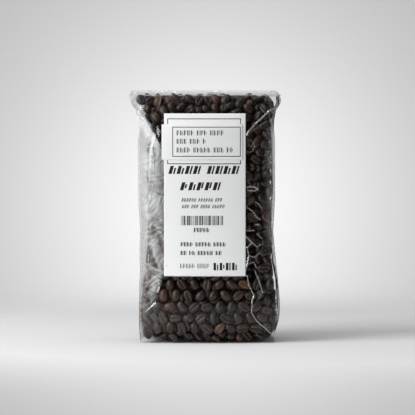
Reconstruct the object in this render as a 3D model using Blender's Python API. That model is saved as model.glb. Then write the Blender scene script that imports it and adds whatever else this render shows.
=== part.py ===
"""A side-gusseted clear film bag of roasted coffee beans, with a paper label and a sticker over it.

Frame: +Z up, the front face looks along -Y, and +X is to the right of someone facing the front.
The origin is on the table, under the middle of the bag. Sizes are in metres.

The film is one web in the real bag. It is drawn as the panels that its creases and welds make of it:
front panel, two gussets, two halves of the back, the folded top and base, and three welded fins.
Each fin hinges on its weld root. Film, paper and fins are drawn thicker than they are.
"""

import math
import random

import bpy
import bmesh
from mathutils import Matrix, Vector

# Driving dimensions of the filled bag.
HEIGHT = 0.1925  # table to the top edge of the front panel
FILM = 0.0004  # drawn film thickness
FIN_FILM = 0.0004  # drawn thickness of a welded fin, two films
PAPER = 0.0002  # drawn thickness of label paper
GAP = 0.0004  # clearance between pieces that touch
FIN_WIDTH = 0.011  # weld root to cut edge
SEAL_LENGTH = 0.115  # flat width of the gusseted tube, so the length of each end weld

# Shape of the bag by height: half width across the creased corners, half depth at the creases,
# half depth at the middle of front and back, and how deep and how squarely the gussets fold in.
LEVELS = (0.0, 0.008, 0.022, 0.056, 0.086, 0.112, 0.150, 0.164, 0.176, 0.186, HEIGHT)
HALF_WIDTHS = (0.0512, 0.0524, 0.0537, 0.0524, 0.0510, 0.0520, 0.0520, 0.0512, 0.0528, 0.0572, 0.0565)
CREASE_DEPTHS = (0.0270, 0.0280, 0.0295, 0.0305, 0.0310, 0.0310, 0.0305, 0.0295, 0.0280, 0.0266, 0.0258)
MIDDLE_DEPTHS = (0.0290, 0.0360, 0.0385, 0.0385, 0.0385, 0.0385, 0.0385, 0.0385, 0.0345, 0.0300, 0.0275)
TUCKS = (0.0060, 0.0045, 0.0035, 0.0060, 0.0070, 0.0072, 0.0080, 0.0108, 0.0110, 0.0106, 0.0105)
TUCK_POWERS = (1.5, 2.5, 4.0, 5.0, 6.0, 6.0, 4.0, 1.6, 1.0, 1.0, 1.0)  # 1 folds in as a V, 6 nearly square
FACE_POWER = 2.2  # how square front and back are across: 2 is a parabola
END_BIAS = 0.65  # how far panel rows crowd towards the ends

# The content is a rounded heap inside the film, with its own half width by height.
FILL_BOTTOM = 0.0048
FILL_TOP = 0.1840
FILL_LEVELS = (FILL_BOTTOM, 0.012, 0.030, 0.056, 0.086, 0.125, 0.148, 0.164, 0.178, FILL_TOP)
FILL_HALF_WIDTHS = (0.0415, 0.0450, 0.0470, 0.0445, 0.0422, 0.0425, 0.0415, 0.0375, 0.0395, 0.0390)
FILL_CLEARANCE = 0.0010  # between the heap and the front and back film
FILL_SQUARENESS = 3.0  # superellipse power of the heap's cross-section

# The folded ends.
TOP_FOLD_RIM = 0.1905  # height of the folded top at its front and back rims
TOP_FOLD_SAG = 0.0030  # dip of the folded top at its weld
BASE_RIM = 0.0050  # width of the flat band that the bag stands on
BASE_ARCH = 0.0036  # height of the arched middle of the base
ARCH_SHARE = 0.80  # share of the base's width over which the arch has its full height
PANEL_FOOT = 0.0009  # lower edge of the upright panels
BACK_FIN_SPAN = (0.020, 0.166)  # heights between which the back is straight, so its fin can fold
TOP_FIN_TILT = 2.5  # degrees that each fin's rest leans off level, along the film it lies on
BASE_FIN_TILT = -8.5
RIBS = 4  # crimp ribs along each weld
RIB_HEIGHT = 0.00015

# The paper.
LABEL = (-0.0326, 0.0294, 0.0516, 0.1753)  # left, right, bottom, top
STICKER = (-0.0344, 0.0272, 0.1403, 0.1670)

# The loose beans of the window below the label.
BEAN = (0.0096, 0.0071, 0.0044)  # length, width, thickness
BEAN_SPREAD = 0.07  # share by which beans differ in size
BEAN_GAP = 0.0006
BEAN_COLUMNS = 9
BEAN_ROWS = 5
WINDOW = (-0.0435, 0.0435, 0.0060, 0.0495)  # left, right, bottom, top
WINDOW_DEPTH = 0.0072
WINDOW_EDGE = 0.0015  # clearance round the loose beans
MOST_ROUNDS = 400
SEED = 11


def by_height(z, values, levels=LEVELS):
    """A smooth curve through values at levels, read at z."""
    z = min(max(z, levels[0]), levels[-1])
    i = min(sum(z >= level for level in levels) - 1, len(levels) - 2)
    t = (z - levels[i]) / (levels[i + 1] - levels[i])
    slopes = []
    for k in (i, i + 1):
        before, after = max(k - 1, 0), min(k + 1, len(levels) - 1)
        slopes.append((values[after] - values[before]) / (levels[after] - levels[before]))
    step = levels[i + 1] - levels[i]
    a, b = values[i], values[i + 1]
    return (
        a * (2 * t**3 - 3 * t**2 + 1)
        + b * (3 * t**2 - 2 * t**3)
        + step * (slopes[0] * (t**3 - 2 * t**2 + t) + slopes[1] * (t**3 - t**2))
    )


def closer_at_ends(t):
    """Spreads steps from 0 to 1 so that they are about a third as long near both ends."""
    return t - END_BIAS * math.sin(2 * math.pi * t) / (2 * math.pi)


def face_depth(x, z):
    """How far the inside of the front or back film is from the middle plane."""
    share = min(abs(x) / by_height(z, HALF_WIDTHS), 1.0)
    crease = by_height(z, CREASE_DEPTHS)
    return crease + (by_height(z, MIDDLE_DEPTHS) - crease) * (1 - share**FACE_POWER)


def material(name, colour, roughness, alpha=1.0):
    made = bpy.data.materials.new(name)
    made.use_nodes = True
    shader = made.node_tree.nodes["Principled BSDF"]
    shader.inputs["Base Color"].default_value = (*colour, 1.0)
    shader.inputs["Roughness"].default_value = roughness
    shader.inputs["Metallic"].default_value = 0.0
    shader.inputs["Alpha"].default_value = alpha
    return made


def add_object(name, mesh, finish):
    made = bpy.data.objects.new(name, mesh)
    bpy.context.scene.collection.objects.link(made)
    mesh.materials.append(finish)
    mesh.shade_smooth()
    mesh.set_sharp_from_angle(angle=math.radians(40))
    return made


def closed_sheet(name, inner, outer):
    """A closed sheet between two grids of points, rows of lines, that face each other."""
    rows, columns = len(inner) - 1, len(inner[0]) - 1
    shape = bmesh.new()
    low = [[shape.verts.new(p) for p in line] for line in inner]
    high = [[shape.verts.new(p) for p in line] for line in outer]
    for j in range(rows):
        for i in range(columns):
            shape.faces.new((high[j][i], high[j][i + 1], high[j + 1][i + 1], high[j + 1][i]))
            shape.faces.new((low[j][i], low[j + 1][i], low[j + 1][i + 1], low[j][i + 1]))
    border = [(0, i) for i in range(columns)] + [(j, columns) for j in range(rows)]
    border += [(rows, i) for i in range(columns, 0, -1)] + [(j, 0) for j in range(rows, 0, -1)]
    for (j, i), (jj, ii) in zip(border, border[1:] + border[:1]):
        shape.faces.new((low[j][i], low[jj][ii], high[jj][ii], high[j][i]))
    mesh = bpy.data.meshes.new(name)
    shape.to_mesh(mesh)
    shape.free()
    return mesh


def sheet_mesh(name, surface, columns, rows, thickness):
    """A closed thin sheet: surface(u, v) gives its inner face for u and v from 0 to 1, and it
    thickens along the cross product of the u and v directions."""
    small = 1e-4
    inner = [[Vector(surface(i / columns, j / rows)) for i in range(columns + 1)] for j in range(rows + 1)]
    outer = []
    for j in range(rows + 1):
        line = []
        for i in range(columns + 1):
            u = min(max(i / columns, small), 1 - small)
            v = min(max(j / rows, small), 1 - small)
            along_u = Vector(surface(u + small, v)) - Vector(surface(u - small, v))
            along_v = Vector(surface(u, v + small)) - Vector(surface(u, v - small))
            line.append(inner[j][i] + along_u.cross(along_v).normalized() * thickness)
        outer.append(line)
    return closed_sheet(name, inner, outer)


# Upright panels of the tube.


def upright_level(v):
    return PANEL_FOOT + closer_at_ends(v) * (HEIGHT - PANEL_FOOT)


def front_surface(u, v):
    z = upright_level(v)
    half = by_height(z, HALF_WIDTHS)
    x = half * (2 * u - 1)
    return (x, -face_depth(x, z), z)


def back_surface(side):
    """One half of the back, from its crease to the seam on the right and the other way on the left."""

    def surface(u, v):
        z = upright_level(v)
        share = 1 - u if side > 0 else u
        x = side * (GAP + share * (by_height(z, HALF_WIDTHS) - GAP))
        return (x, face_depth(x, z), z)

    return surface


def top_fold_height(rise):
    """Height of the folded top, from its weld at rise 0 to its front and back rims at rise 1."""
    return TOP_FOLD_RIM - TOP_FOLD_SAG * (1 - rise**2)


def gusset_surface(side):
    """The side panel, from front crease to back crease on the right, folding in at its middle."""

    def surface(u, v):
        across = math.sin(math.pi * (u - 0.5))
        z = PANEL_FOOT + closer_at_ends(v) * (top_fold_height(abs(across)) - 2 * GAP - PANEL_FOOT)
        depth = by_height(z, CREASE_DEPTHS) - GAP - FILM
        fold = by_height(z, TUCKS) * (1 - abs(across) ** by_height(z, TUCK_POWERS))
        x = by_height(z, HALF_WIDTHS) - FILM - fold
        return (side * x, side * depth * across, z)

    return surface


# Folded ends.


def top_surface(u, v):
    """The folded-over top: it dips from its front and back rims to the weld in the middle."""
    depth = by_height(HEIGHT, CREASE_DEPTHS) - GAP
    y = depth * (2 * v - 1)
    rise = abs(2 * v - 1)
    half = by_height(HEIGHT, HALF_WIDTHS) - by_height(HEIGHT, TUCKS) * (1 - rise) - FILM - 2 * GAP
    return (half * (2 * u - 1), y, top_fold_height(rise))


def base_half_width(share):
    """Half width of the base: the gussets fold in between its front edge at share -1 and back at 1."""
    tuck = by_height(0.0, TUCKS) * (1 - abs(share) ** TUCK_POWERS[0])
    return by_height(0.0, HALF_WIDTHS) - tuck - FILM - 2 * GAP


def base_mesh():
    """The folded-under base: a flat band to stand on, and a middle that arches up over the weld."""
    half_y = by_height(0.0, CREASE_DEPTHS) - GAP
    end = 1 - BASE_RIM / base_half_width(0.0)
    flank = 1 - BASE_RIM / half_y
    shares_x = (-1, -end, -ARCH_SHARE, -0.4, 0, 0.4, ARCH_SHARE, end, 1)
    shares_y = (-1, -flank, -0.48, -0.24, 0, 0.24, 0.48, flank, 1)

    def arch(share_x, share_y):
        along = min(max((end - abs(share_x)) / (end - ARCH_SHARE), 0.0), 1.0)
        across = min(abs(share_y) / flank, 1.0)
        return BASE_ARCH * along * (1 - across**2)

    def lifted(lift):
        lines = []
        for b in shares_y:
            line = [(a * base_half_width(b), b * half_y, arch(a, b) + lift) for a in shares_x]
            lines.append(line)
        return lines

    return closed_sheet("base_fold", lifted(0.0), lifted(FILM))


# Fins, each drawn along +X from its weld root at the origin of its own object.


def fin_mesh(name, length, width):
    """A flat welded strip with crimp ribs on its outer face, its root along the X axis and its
    width along +Y, as one cross-section drawn out along X."""
    shape = bmesh.new()
    thick = FIN_FILM / 2
    first, last = width * 0.27, width * 0.87  # the ribbed band
    profile = [(GAP, -thick), (width, -thick), (width, thick)]
    for k in range(2 * RIBS, -1, -1):
        y = first + (last - first) * k / (2 * RIBS)
        profile.append((y, thick + (RIB_HEIGHT if k % 2 else 0.0)))
    profile.append((GAP, thick))
    ends = [[shape.verts.new((x, y, z)) for y, z in profile] for x in (-length / 2, length / 2)]
    count = len(profile)
    for k in range(count):
        n = (k + 1) % count
        shape.faces.new((ends[0][k], ends[0][n], ends[1][n], ends[1][k]))
    shape.faces.new(ends[0][::-1])
    shape.faces.new(ends[1])
    bmesh.ops.recalc_face_normals(shape, faces=shape.faces)
    mesh = bpy.data.meshes.new(name)
    shape.to_mesh(mesh)
    shape.free()
    return mesh


def hinge(name, place, rotation):
    """An empty on a fin's weld root, which the fin turns about."""
    made = bpy.data.objects.new(name, None)
    made.matrix_world = Matrix.LocRotScale(Vector(place), rotation.to_quaternion(), None)
    bpy.context.scene.collection.objects.link(made)
    bpy.context.view_layer.update()
    return made


def add_fin(name, length, place, rotation, finish):
    """A fin on its own hinge empty, lying where the empty's rotation lays it."""
    made = add_object(name, fin_mesh(name, length, FIN_WIDTH), finish)
    made.parent = hinge(name + "_hinge", place, rotation)
    return made


# Paper.


def paper_surface(box, lift):
    """A rectangle of the front, standing lift off the film's outer face."""
    left, right, bottom, top = box

    def surface(u, v):
        x = left + u * (right - left)
        z = bottom + v * (top - bottom)
        return (x, -face_depth(x, z) - FILM - lift, z)

    return surface


# Content.


def fill_ring(z, count, shrink):
    """One level of the heap as points round a superellipse."""
    half_x = by_height(z, FILL_HALF_WIDTHS, FILL_LEVELS) * shrink
    half_y = (face_depth(0.0, z) - FILL_CLEARANCE) * (0.15 + 0.85 * shrink)
    power = 2 / FILL_SQUARENESS
    ring = []
    for k in range(count):
        angle = 2 * math.pi * k / count
        c, s = math.cos(angle), math.sin(angle)
        ring.append(
            (
                math.copysign(abs(c) ** power, c) * half_x,
                math.copysign(abs(s) ** power, s) * half_y,
                z,
            )
        )
    return ring


def fill_mesh():
    """The heap: rings up the bag, closed by a flat bottom and a flat top."""
    around = 36
    rings = [fill_ring(FILL_BOTTOM, around, 0.93)]
    levels = 15
    for k in range(levels + 1):
        z = FILL_BOTTOM + 0.003 + (FILL_TOP - FILL_BOTTOM - 0.006) * closer_at_ends(k / levels)
        rings.append(fill_ring(z, around, 1.0 if k < levels else 0.97))
    rings.append(fill_ring(FILL_TOP, around, 0.88))
    shape = bmesh.new()
    loops = [[shape.verts.new(p) for p in ring] for ring in rings]
    for low, high in zip(loops, loops[1:]):
        for k in range(around):
            n = (k + 1) % around
            shape.faces.new((low[k], low[n], high[n], high[k]))
    shape.faces.new(loops[0][::-1])
    shape.faces.new(loops[-1])
    mesh = bpy.data.meshes.new("bean_fill")
    shape.to_mesh(mesh)
    shape.free()
    return mesh


def window_cutter():
    """The slab just behind the front film below the label, where the beans are drawn one by one."""
    left, right, bottom, top = (
        edge + way * WINDOW_EDGE for edge, way in zip(WINDOW, (-1, 1, -1, 1))
    )

    def surface(u, v):
        x = left + u * (right - left)
        z = bottom + v * (top - bottom)
        return (x, -face_depth(x, z) + WINDOW_DEPTH, z)

    slab = sheet_mesh("window_cutter", surface, 8, 3, 1.5 * WINDOW_DEPTH)
    made = bpy.data.objects.new("window_cutter", slab)
    bpy.context.scene.collection.objects.link(made)
    made.hide_render = True
    made.display_type = "WIRE"
    return made


def bean_mesh(name):
    """A bean of unit length, width and thickness: a domed back on +Z, a flat front on -Z with the
    furrow along X. Cross-sections run from tip to tip, each with the same count of points."""
    stations, dome = 6, 6
    shape = bmesh.new()
    rings = []
    for i in range(1, stations + 1):
        x = -math.cos(math.pi * i / (stations + 1)) * 0.5
        size = math.sqrt(1 - (2 * x) ** 2)
        ring = []
        for k in range(dome + 1):
            angle = math.pi * k / dome
            ring.append((math.cos(angle) * 0.5 * size, (-0.28 + 0.78 * math.sin(angle)) * size))
        ring += [(-0.30 * size, -0.46 * size), (-0.09 * size, -0.48 * size), (0.0, -0.24 * size)]
        ring += [(0.09 * size, -0.48 * size), (0.30 * size, -0.46 * size)]
        rings.append([shape.verts.new((x, y, z)) for y, z in ring])
    count = len(rings[0])
    for low, high in zip(rings, rings[1:]):
        for k in range(count):
            n = (k + 1) % count
            shape.faces.new((low[k], low[n], high[n], high[k]))
    for ring, x in ((rings[0], -0.5), (rings[-1], 0.5)):
        tip = shape.verts.new((x, 0.0, -0.06))
        for k in range(count):
            shape.faces.new((ring[k], ring[(k + 1) % count], tip))
    bmesh.ops.recalc_face_normals(shape, faces=shape.faces)
    mesh = bpy.data.meshes.new(name)
    shape.to_mesh(mesh)
    shape.free()
    return mesh


def discs(bean):
    """Three discs, each (x, z, radius), that cover a bean seen from the front."""
    x, z, angle, (length, width, _) = bean
    tip = width**2 / length / 2
    found = []
    for along, radius in ((0.0, width / 2), (length / 2 - tip, tip), (tip - length / 2, tip)):
        found.append((x + along * math.cos(angle), z + along * math.sin(angle), radius))
    return found


def part_beans(one, other):
    """Pushes and turns two overlapping beans apart, and says whether it had to."""
    worst, found = 0.0, None
    for ax, az, ar in discs(one):
        for bx, bz, br in discs(other):
            overlap = ar + br + BEAN_GAP - math.hypot(bx - ax, bz - az)
            if overlap > worst:
                worst, found = overlap, (ax, az, bx, bz)
    if found is None:
        return False
    ax, az, bx, bz = found
    away = Vector((bx - ax, bz - az)).normalized() * worst / 2
    for bean, x, z, push in ((one, ax, az, -away), (other, bx, bz, away)):
        lever = Vector((x - bean[0], z - bean[1]))
        bean[0] += push.x
        bean[1] += push.y
        bean[2] += lever.cross(push) / BEAN[0] ** 2 * 4
    return True


def pack_beans(rng):
    """Beans laid on the window: started on a staggered grid, then pushed and turned apart until
    none overlap. Each is [x, z, angle, (length, width, thickness)]."""
    left, right, bottom, top = WINDOW
    beans = []
    for row in range(BEAN_ROWS):
        for column in range(BEAN_COLUMNS - row % 2):
            share = 1 + BEAN_SPREAD * rng.uniform(-1, 1)
            size = tuple(side * share for side in BEAN)
            x = left + (right - left) * (column + 0.5 + 0.5 * (row % 2)) / BEAN_COLUMNS
            z = bottom + (top - bottom) * (row + 0.5) / BEAN_ROWS
            beans.append([x, z, rng.uniform(0, math.pi), size])
    for _ in range(MOST_ROUNDS):
        moved = False
        for i, one in enumerate(beans):
            for other in beans[i + 1 :]:
                if math.hypot(other[0] - one[0], other[1] - one[1]) < BEAN[0] * 1.2:
                    moved |= part_beans(one, other)
        for bean in beans:
            for x, z, radius in discs(bean):
                bean[0] += max(left + radius - x, 0.0) - max(x + radius - right, 0.0)
                bean[1] += max(bottom + radius - z, 0.0) - max(z + radius - top, 0.0)
        if not moved:
            break
    return beans


def add_beans(finish):
    """Each bean of the window lies flat against the front film, domed or furrowed side out."""
    rng = random.Random(SEED)
    shared = bean_mesh("bean")
    for number, (x, z, angle, size) in enumerate(pack_beans(rng), start=1):
        step = 0.002
        along_x = Vector((2 * step, face_depth(x - step, z) - face_depth(x + step, z), 0)).normalized()
        along_z = Vector((0, face_depth(x, z - step) - face_depth(x, z + step), 2 * step)).normalized()
        outward = along_x.cross(along_z).normalized()
        long_axis = (along_x * math.cos(angle) + along_z * math.sin(angle)).normalized()
        face_out = rng.random() < 0.45
        thick_axis = -outward if face_out else outward
        wide_axis = thick_axis.cross(long_axis).normalized()
        long_axis = wide_axis.cross(thick_axis)
        sink = size[2] / 2 + 2 * GAP
        place = Vector((x, -face_depth(x, z), z)) - outward * sink
        turn = Matrix((long_axis, wide_axis, thick_axis)).transposed().to_4x4()
        mesh = shared.copy()
        mesh.transform(Matrix.Diagonal((*size, 1.0)))
        made = add_object(f"bean_{number:02d}", mesh, finish)
        made.matrix_world = Matrix.Translation(place) @ turn


def clear_scene():
    for thing in list(bpy.data.objects):
        bpy.data.objects.remove(thing)


def add_film(film):
    """The panels of the film tube and its two folded ends."""
    rows = 16
    add_object("front_panel", sheet_mesh("front_panel", front_surface, 12, rows, FILM), film)
    for name, side in (("back_panel_right", 1), ("back_panel_left", -1)):
        add_object(name, sheet_mesh(name, back_surface(side), 6, rows, FILM), film)
    for name, side in (("right_gusset", 1), ("left_gusset", -1)):
        add_object(name, sheet_mesh(name, gusset_surface(side), 8, rows, FILM), film)
    add_object("top_fold", sheet_mesh("top_fold", top_surface, 8, 8, FILM), film)
    add_object("base_fold", base_mesh(), film)


def add_fins(weld):
    """The end welds, folded flat along +Y, and the back seam's weld, folded flat along +X."""
    clear = FILM + GAP + FIN_FILM / 2
    lean = Matrix.Rotation(math.radians(TOP_FIN_TILT), 4, "X")
    add_fin("top_seal_fin", SEAL_LENGTH, (0, 0, top_fold_height(0.0) + clear), lean, weld)

    length = 2 * base_half_width(0.0) * ARCH_SHARE - 2 * GAP
    lean = Matrix.Rotation(math.radians(BASE_FIN_TILT), 4, "X")
    add_fin("base_seal_fin", length, (0, 0, BASE_ARCH - GAP - FIN_FILM / 2), lean, weld)

    low, high = BACK_FIN_SPAN
    back = max(MIDDLE_DEPTHS) + clear
    upright = Matrix(((0, 1, 0), (0, 0, 1), (1, 0, 0))).to_4x4()
    add_fin("back_seam_fin", high - low, (0, back, (low + high) / 2), upright, weld)


def add_paper(paper):
    label = sheet_mesh("main_label", paper_surface(LABEL, GAP), 8, 12, PAPER)
    add_object("main_label", label, paper)
    sticker = sheet_mesh("address_sticker", paper_surface(STICKER, 2 * GAP + PAPER), 8, 4, PAPER)
    add_object("address_sticker", sticker, paper)


def add_contents(roast):
    fill = add_object("bean_fill", fill_mesh(), roast)
    cut = fill.modifiers.new("window", "BOOLEAN")
    cut.object = window_cutter()
    cut.operation = "DIFFERENCE"
    add_beans(roast)


def main():
    clear_scene()
    add_film(material("clear_film", (0.92, 0.93, 0.94), 0.08, 0.25))
    add_fins(material("welded_film", (0.88, 0.89, 0.90), 0.25, 0.45))
    add_paper(material("label_paper", (0.86, 0.87, 0.89), 0.55))
    add_contents(material("roasted_bean", (0.055, 0.036, 0.030), 0.42))


main()
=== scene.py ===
"""The looks of a clear film bag of roasted coffee beans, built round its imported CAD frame.

Units are metres in the CAD's own frame: +Z up, the front looks along -Y, +X to the viewer's right.

The beans are packed inside the film as ellipsoids and then drawn as split, furrowed beans. The film
is one thin skin in six pieces that share their edges. Paper, print and fins follow the film.
"""

import math

import bpy
import numpy as np
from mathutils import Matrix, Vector
from mathutils.bvhtree import BVHTree


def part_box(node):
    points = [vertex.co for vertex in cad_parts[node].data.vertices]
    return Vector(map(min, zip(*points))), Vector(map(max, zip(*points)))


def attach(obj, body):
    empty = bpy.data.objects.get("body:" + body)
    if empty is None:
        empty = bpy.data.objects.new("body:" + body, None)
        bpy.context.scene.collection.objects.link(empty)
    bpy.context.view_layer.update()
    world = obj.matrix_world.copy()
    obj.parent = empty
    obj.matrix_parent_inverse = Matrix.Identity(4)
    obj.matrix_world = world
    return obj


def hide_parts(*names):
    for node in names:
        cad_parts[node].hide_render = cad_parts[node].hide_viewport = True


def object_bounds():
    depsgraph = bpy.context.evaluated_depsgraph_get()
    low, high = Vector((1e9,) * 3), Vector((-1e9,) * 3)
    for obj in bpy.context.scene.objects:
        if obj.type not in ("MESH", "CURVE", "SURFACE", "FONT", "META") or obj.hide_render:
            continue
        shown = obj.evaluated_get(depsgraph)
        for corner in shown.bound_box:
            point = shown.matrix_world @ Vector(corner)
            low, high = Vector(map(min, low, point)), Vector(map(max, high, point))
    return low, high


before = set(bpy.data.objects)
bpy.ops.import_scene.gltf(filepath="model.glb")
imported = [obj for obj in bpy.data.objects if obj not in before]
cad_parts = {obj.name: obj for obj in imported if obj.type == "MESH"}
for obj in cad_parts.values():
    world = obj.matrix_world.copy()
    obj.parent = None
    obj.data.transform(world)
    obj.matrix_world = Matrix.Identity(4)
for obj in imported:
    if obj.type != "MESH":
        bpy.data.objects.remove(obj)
cad_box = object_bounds()

MM = 0.001
TINY = 1e-12  # keeps a division by zero away


def outline(*rows):
    """Rows of millimetres as one array of metres for each column."""
    return np.array(rows).T * MM


# ---- the CAD's shape, measured

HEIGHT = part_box("front_panel")[1][2]
LABEL_LOW, LABEL_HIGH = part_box("main_label")
STICKER_LOW, STICKER_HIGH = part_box("address_sticker")
BEAN_NODES = sorted(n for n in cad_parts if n.startswith("bean_") and n != "bean_fill")


def points_of(node):
    """A CAD node's vertices as rows of x, y, z."""
    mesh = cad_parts[node].data
    flat = np.empty(len(mesh.vertices) * 3)
    mesh.vertices.foreach_get("co", flat)
    return flat.reshape(-1, 3)


class Table:
    """Values on an even two-way grid, read between grid points by bilinear interpolation."""

    def __init__(self, first, second, values):
        self.first, self.second, self.values = first, second, values

    def __call__(self, a, b):
        i = np.clip((a - self.first[0]) / (self.first[1] - self.first[0]), 0, len(self.first) - 1.001)
        j = np.clip((b - self.second[0]) / (self.second[1] - self.second[0]), 0, len(self.second) - 1.001)
        i0, j0 = i.astype(int), j.astype(int)
        s, t = i - i0, j - j0
        v = self.values
        low = v[i0, j0] * (1 - s) + v[i0 + 1, j0] * s
        high = v[i0, j0 + 1] * (1 - s) + v[i0 + 1, j0 + 1] * s
        return low * (1 - t) + high * t


def smoothed(values, rounds):
    """Each round averages a table with its neighbours both ways, keeping its edges in place."""
    for _ in range(rounds):
        values[1:-1, :] = (values[:-2, :] + 2 * values[1:-1, :] + values[2:, :]) / 4
        values[:, 1:-1] = (values[:, :-2] + 2 * values[:, 1:-1] + values[:, 2:]) / 4
    return values


def cast_table(node, first, second, start, direction):
    """How far a CAD node is from start(a, b) along a direction, for a in first and b in second."""
    tree = BVHTree.FromObject(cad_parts[node], bpy.context.evaluated_depsgraph_get())
    reach = np.full((len(first), len(second)), np.nan)
    for i, a in enumerate(first):
        for j, b in enumerate(second):
            distance = tree.ray_cast(Vector(start(a, b)), Vector(direction))[3]
            if distance is not None:
                reach[i, j] = distance
    for j in range(len(second)):
        known = np.flatnonzero(~np.isnan(reach[:, j]))
        if len(known):
            reach[:, j] = np.interp(np.arange(len(first)), known, reach[known, j])
    rows = np.flatnonzero(~np.isnan(reach[0]))
    for i in range(len(first)):
        reach[i] = np.interp(np.arange(len(second)), rows, reach[i, rows])
    return Table(first, second, smoothed(reach, 2))


LEVELS = np.linspace(0.0, HEIGHT, 97)
ACROSS = np.linspace(-58 * MM, 58 * MM, 59)
DEEP = np.linspace(-30.5 * MM, 30.5 * MM, 41)
GUSSET_START, TOP_START = 20 * MM, 170 * MM  # inside the bag, where the rays outward and upward start
front_depth = cast_table("front_panel", ACROSS, LEVELS, lambda x, z: (x, 0, z), (0, -1, 0))
gusset_reach = cast_table("right_gusset", DEEP, LEVELS, lambda y, z: (GUSSET_START, y, z), (1, 0, 0))
gusset_reach.values += GUSSET_START
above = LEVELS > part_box("right_gusset")[1][2] - 5 * MM
gusset_reach.values[:, above] = gusset_reach.values[:, ~above][:, -1:]
top_reach = cast_table("top_fold", ACROSS * 0.75, DEEP * 0.82, lambda x, y: (x, y, TOP_START), (0, 0, 1))
top_reach.values += TOP_START

OUTER_COLUMNS, ROW_HEIGHT = 48.5 * MM, 4 * MM  # of the front panel's vertices, next to its creases


def edge_profile():
    """The CAD's half width and crease depth at LEVELS, from the front panel's outer columns."""
    points = points_of("front_panel")
    rows = {}
    for x, y, z in points[np.abs(points[:, 0]) > OUTER_COLUMNS]:
        rows.setdefault(round(z / ROW_HEIGHT), []).append((abs(x), -y, z))
    widest = np.array(sorted((z, width, depth) for width, depth, z in map(max, rows.values())))
    profile = [np.interp(LEVELS, widest[:, 0], widest[:, k]) for k in (1, 2)]
    return smoothed(np.stack(profile, axis=1), 3).T


CREASE_WIDTH, CREASE_DEPTH = edge_profile()

# ---- packing the beans

BEAN_SIZE = np.array([9.7, 7.1, 4.7]) * MM  # length, width, thickness
BEAN_SPREAD, SHAPE_SPREAD = 0.09, 0.05  # how much beans differ in size, and each way in shape
PACKED_SHARE = 0.66  # of the bag's volume that the beans' ellipsoids fill
FILM_GAP = 0.35 * MM  # between the beans and the film
BASE_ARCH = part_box("base_fold")[1][2] - 0.8 * MM  # how high the base's middle stands
ARCH_WIDE, ARCH_DEEP = 50 * MM, 29 * MM
# How far beans reach to the left and right, by height: beside the gussets and short of the creases,
# wide at the top corners and drawn in below them.
REACH_LEVELS, REACH_LEFT, REACH_RIGHT = outline(
    (0, 47, 47), (12, 51, 53.2), (30, 51, 53.4), (50, 47.5, 51.5), (70, 46, 49.8), (95, 45, 49.2),
    (125, 44.5, 49.5), (148, 42, 49.5), (158, 39.5, 48.8), (166, 43.5, 49.3), (174, 48.5, 51),
    (181, 52.5, 52), (186, 54.5, 50.5), (193, 55, 49),
)
# How far the right gusset's tuck is pressed out by the beans, by height.
PRESSED_LEVELS, RIGHT_PRESSED = np.array([45, 62]) * MM, np.array([0.92, 0.6])

JITTER = 0.3  # of the spacing between beans as they start
DRAWN_GAP = 4.5 * MM  # kept clear round the middle of a drawn bean
FLAT_REACH, FLAT_SPREAD = 7 * MM, 0.55  # beans this near a wall start flat on it, give or take
SETTLE_ROUNDS = 170
PAIR_REACH, PAIR_ROUNDS = 10.8 * MM, 8  # neighbours are looked for this far away, every few rounds
START_SIZE, GROWTH, GROWN_BY = 0.80, 0.20, 0.6  # beans grow to full size over this share of the rounds
CONTACT = 2.0  # see push_pairs
INERTIA = (BEAN_SIZE**2).sum() / 4 * 0.2  # of a bean, for its mass
WALL_PUSH, PUSH, EASE = 3, 0.8, 2.2  # how hard beans are moved, and less where many touch


def tucked_reach(y, z, side):
    """How far out a side's gusset is. The right one is pressed out by the beans."""
    reach = gusset_reach(y, z)
    if side > 0:
        pressed = np.interp(z, PRESSED_LEVELS, RIGHT_PRESSED)
        reach = reach + pressed * (np.interp(z, LEVELS, CREASE_WIDTH) - reach)
    return reach


def side_reach(y, z, side):
    """How far out beans may lie on a side."""
    farthest = np.interp(z, REACH_LEVELS, REACH_LEFT if side < 0 else REACH_RIGHT)
    return np.minimum(tucked_reach(y, z, side), farthest)


def base_height(x, y):
    arch = 1.0
    for place, reach in ((y, ARCH_DEEP), (x, ARCH_WIDE)):
        arch = arch * (1 - np.clip(np.abs(place) / reach, 0, 1) ** 6)
    return BASE_ARCH * arch


WALLS = {  # how far inside each of the bag's walls a point is
    "front": lambda x, y, z: y + front_depth(x, z) - FILM_GAP,
    "back": lambda x, y, z: front_depth(x, z) - y - FILM_GAP,
    "left": lambda x, y, z: side_reach(y, z, -1) + x - FILM_GAP,
    "right": lambda x, y, z: side_reach(y, z, 1) - x - FILM_GAP,
    "top": lambda x, y, z: top_reach(x, y) - z - FILM_GAP,
    "base": lambda x, y, z: z - base_height(x, y) - 2 * FILM_GAP,
}


def unit(vectors):
    return vectors / np.linalg.norm(vectors, axis=-1, keepdims=True)


def wall_slope(wall, points):
    """The inward direction off a wall at each point, and the distance to the wall along it."""
    step = 0.5 * MM
    slope = np.empty_like(points)
    for axis in range(3):
        shift = np.zeros(3)
        shift[axis] = step
        slope[:, axis] = (wall(*(points + shift).T) - wall(*(points - shift).T)) / (2 * step)
    size = np.linalg.norm(slope, axis=1)
    return slope / size[:, None], wall(*points.T) / size


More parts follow.
